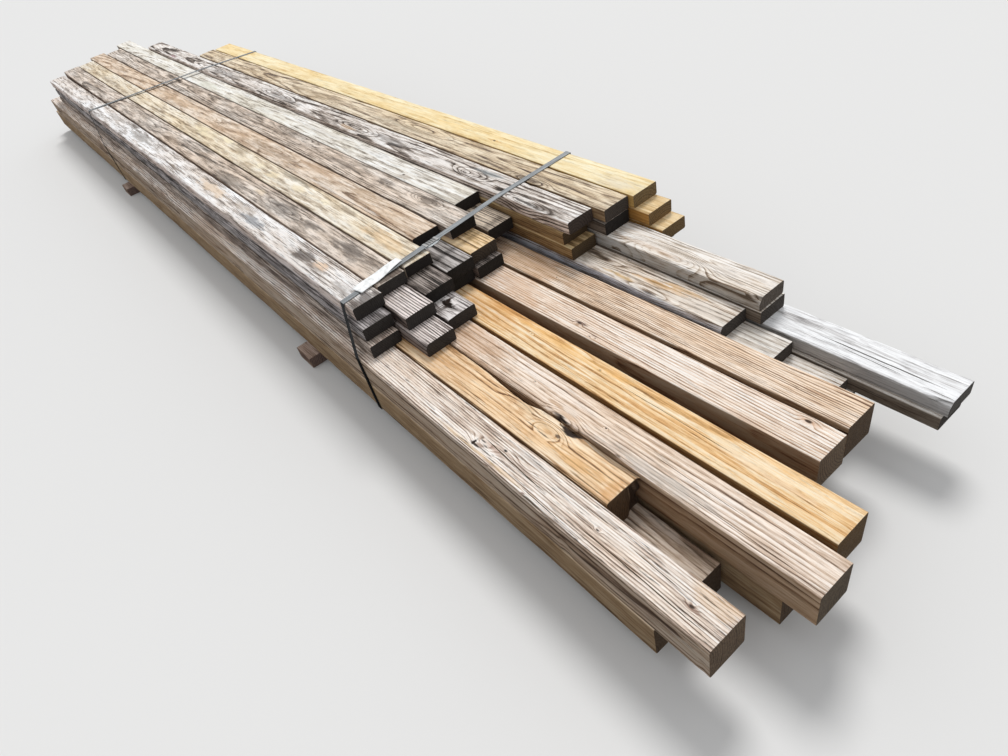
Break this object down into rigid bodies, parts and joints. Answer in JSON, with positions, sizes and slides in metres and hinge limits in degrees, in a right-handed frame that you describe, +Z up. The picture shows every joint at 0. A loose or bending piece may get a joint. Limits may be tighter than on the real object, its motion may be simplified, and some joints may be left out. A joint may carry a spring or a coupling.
{
  "type": "stack of lumber",
  "caption": "Strapped stack of weathered construction lumber: flat boards on square posts beside a taller block of boards, two steel straps, a paper tag and two cross bearers.",
  "frame": {"origin": "on the floor, under the middle of the whole stack", "axes": "+X along the lumber towards the end where the posts stick out, +Y across the stack from the block on posts to the block of boards, +Z up"},
  "size_m": [5.1056, 0.921, 0.3431],
  "materials": {
    "weathered_boards": "dry, weathered grey, sawn softwood",
    "stud_boards": "dry, lightly weathered softwood",
    "weathered_posts": "dry, checked, lightly weathered softwood",
    "bearer_boards": "dry, weathered softwood",
    "strap_steel": "blackened strapping, scuffed to bare grey on top",
    "seal_steel": "dull, crimped",
    "tag_paper": "matt, weathered paper"
  },
  "bodies": {
    "root": {"far_bearer": "bearer_boards", "far_seal": "seal_steel", "far_strap": "strap_steel", "left_board_a1": "weathered_boards", "left_board_a2": "weathered_boards", "left_board_a3": "weathered_boards", "left_board_b1": "weathered_boards", "left_board_b2": "weathered_boards", "left_board_b3": "weathered_boards", "left_board_c1": "weathered_boards", "left_board_c2": "weathered_boards", "left_board_c3": "weathered_boards", "left_board_d1": "weathered_boards", "left_board_d2": "weathered_boards", "left_board_d3": "weathered_boards", "left_board_e1": "weathered_boards", "left_board_e2": "weathered_boards", "left_board_e3": "weathered_boards", "left_board_f1": "weathered_boards", "left_board_f2": "weathered_boards", "left_board_f3": "weathered_boards", "lower_post_a": "weathered_posts", "lower_post_b": "weathered_posts", "lower_post_c": "weathered_posts", "lower_post_d": "weathered_posts", "lower_post_e": "weathered_posts", "lower_post_f": "weathered_posts", "near_bearer": "bearer_boards", "near_seal": "seal_steel", "near_strap": "strap_steel", "right_board_g1": "stud_boards", "right_board_g2": "stud_boards", "right_board_g3": "stud_boards", "right_board_g4": "stud_boards", "right_board_g5": "stud_boards", "right_board_g6": "stud_boards", "right_board_g7": "stud_boards", "right_board_h1": "stud_boards", "right_board_h2": "stud_boards", "right_board_h3": "stud_boards", "right_board_h4": "stud_boards", "right_board_h5": "stud_boards", "right_board_h6": "stud_boards", "right_board_h7": "stud_boards", "right_board_i1": "stud_boards", "right_board_i2": "stud_boards", "right_board_i3": "stud_boards", "right_board_i4": "stud_boards", "right_board_i5": "stud_boards", "right_board_i6": "stud_boards", "right_board_i7": "stud_boards", "right_bottom_boards": "stud_boards", "tag": "tag_paper", "upper_post_a": "weathered_posts", "upper_post_b": "weathered_posts", "upper_post_c": "weathered_posts", "upper_post_d": "weathered_posts", "upper_post_e": "weathered_posts", "upper_post_f": "weathered_posts"}
  },
  "joints": []
}
